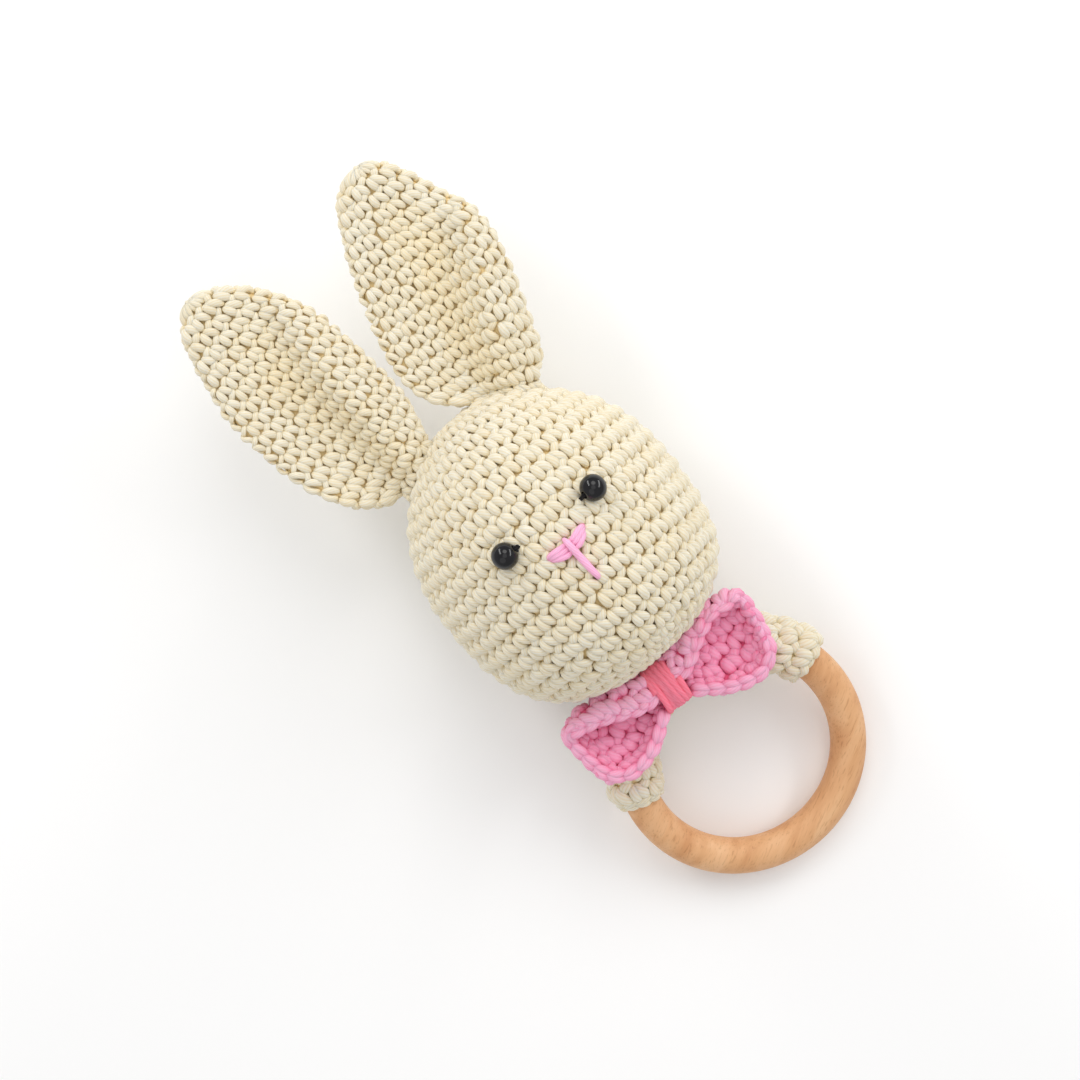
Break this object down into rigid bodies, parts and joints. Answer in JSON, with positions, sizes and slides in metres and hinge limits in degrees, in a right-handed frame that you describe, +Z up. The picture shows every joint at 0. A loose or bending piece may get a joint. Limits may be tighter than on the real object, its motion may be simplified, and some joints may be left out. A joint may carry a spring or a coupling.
{
  "type": "baby rattle",
  "caption": "Crocheted bunny-head baby rattle with two cupped ears, bead eyes, a bow and a crocheted sleeve on a wooden teething ring.",
  "frame": {"origin": "centre of the bounding box on the surface that the rattle lies on", "axes": "+Z up out of the face, +Y from the ring to the ear tips, +X to the right of someone looking at the face"},
  "size_m": [0.0852, 0.2168, 0.0753],
  "materials": {
    "cream_yarn": "undyed cotton yarn, crocheted, matt with a soft halo of fibre",
    "pink_yarn": "pink cotton yarn, crocheted, matt",
    "embroidery_pink": "pale pink cotton yarn, embroidered",
    "coral_yarn": "coral cotton yarn, wound",
    "beech": "bare sanded beech with a light wax",
    "bead": "glossy black bead",
    "black_thread": "black sewing thread",
    "fibrefill": "white polyester stuffing",
    "capsule": "white moulded plastic",
    "pellet": "hard plastic"
  },
  "bodies": {
    "head": {"head_cover": "cream_yarn", "stuffing_front": "fibrefill", "stuffing_back": "fibrefill", "capsule_cup": "capsule", "capsule_lid": "capsule", "eye_bead_left": "bead", "eye_bead_right": "bead", "eye_thread_left": "black_thread", "eye_thread_right": "black_thread", "nose_stitch_left": "embroidery_pink", "nose_stitch_right": "embroidery_pink", "mouth_stitch": "embroidery_pink", "ear_left_seam": "cream_yarn", "ear_right_seam": "cream_yarn", "neck_seam": "cream_yarn"},
    "ear_left": {"ear_left": "cream_yarn"},
    "ear_right": {"ear_right": "cream_yarn"},
    "sleeve": {"ring_sleeve": "cream_yarn", "bow": "pink_yarn", "bow_wrap": "coral_yarn"},
    "ring": {"wooden_ring": "beech"},
    "pellet_1": {"pellet_1": "pellet"},
    "pellet_2": {"pellet_2": "pellet"},
    "pellet_3": {"pellet_3": "pellet"},
    "pellet_4": {"pellet_4": "pellet"},
    "pellet_5": {"pellet_5": "pellet"}
  },
  "joints": [
    {"name": "ear_left_fold", "type": "hinge", "parent": "head", "child": "ear_left", "pos_m": [-0.01469, 0.03756, 0.034], "axis": [1, 0, 0], "range_deg": [-20, 60], "stiffness_Nm_per_rad": 0.08},
    {"name": "ear_right_fold", "type": "hinge", "parent": "head", "child": "ear_right", "pos_m": [0.0193, 0.03936, 0.034], "axis": [1, 0, 0], "range_deg": [-20, 60], "stiffness_Nm_per_rad": 0.08},
    {"name": "neck_nod", "type": "hinge", "parent": "head", "child": "sleeve", "pos_m": [0.0063, -0.03784, 0.02], "axis": [1, 0, 0], "range_deg": [-2, 25], "stiffness_Nm_per_rad": 0.15},
    {"name": "handle_ring_turn", "type": "hinge", "parent": "sleeve", "child": "ring", "pos_m": [0.0063, -0.07444, 0.01231], "axis": [0, -0.2419, 0.9703], "continuous": true},
    {"name": "pellet_1_rattle", "type": "slide", "parent": "head", "child": "pellet_1", "axis": [0, 0, 1], "range_m": [0, 0.01768]},
    {"name": "pellet_2_rattle", "type": "slide", "parent": "head", "child": "pellet_2", "axis": [0, 0, 1], "range_m": [0, 0.01768]},
    {"name": "pellet_3_rattle", "type": "slide", "parent": "head", "child": "pellet_3", "axis": [0, 0, 1], "range_m": [0, 0.01768]},
    {"name": "pellet_4_rattle", "type": "slide", "parent": "head", "child": "pellet_4", "axis": [0, 0, 1], "range_m": [0, 0.01768]},
    {"name": "pellet_5_rattle", "type": "slide", "parent": "head", "child": "pellet_5", "axis": [0, 0, 1], "range_m": [0, 0.01768]}
  ]
}
